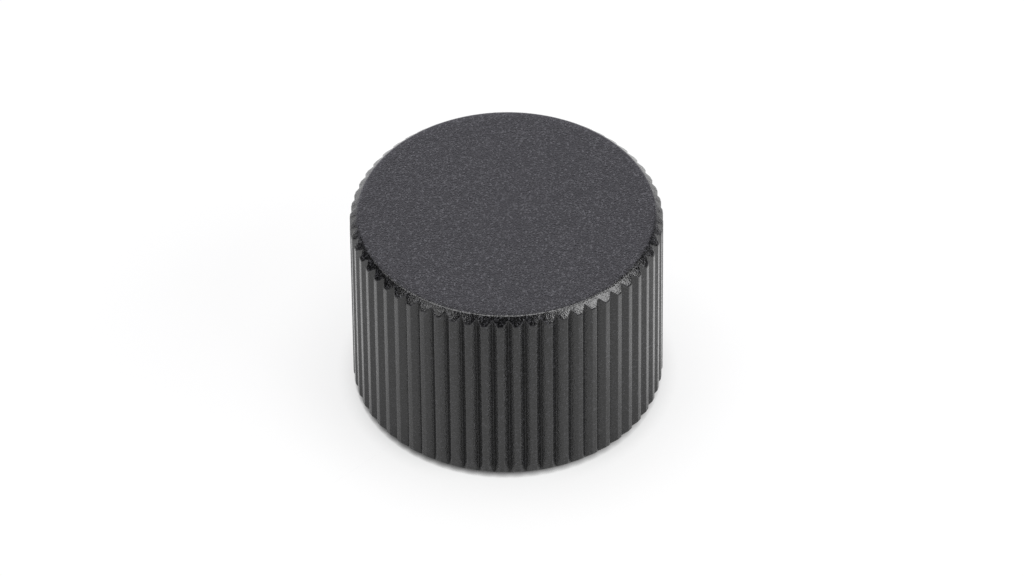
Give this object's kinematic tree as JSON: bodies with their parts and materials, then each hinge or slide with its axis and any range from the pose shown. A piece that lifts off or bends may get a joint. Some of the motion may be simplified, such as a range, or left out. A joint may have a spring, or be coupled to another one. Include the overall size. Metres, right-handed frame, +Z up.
{
  "type": "keyboard knob",
  "caption": "Black anodised aluminium knob with straight V flutes, a chamfered flat top and a blind bore with a grub screw, for turning a rotary encoder.",
  "frame": {"origin": "centre of the foot, on the plane that the knob stands on", "axes": "+Z up the knob's axis, -Y towards the picture's front, +Y towards the grub screw at the back"},
  "size_m": [0.019, 0.019, 0.0132],
  "materials": {
    "anodised_body": "black anodised over a fine bead blast",
    "blackened_screw": "black oxide"
  },
  "bodies": {
    "root": {"knob_body": "anodised_body", "grub_screw": "blackened_screw"}
  },
  "joints": []
}
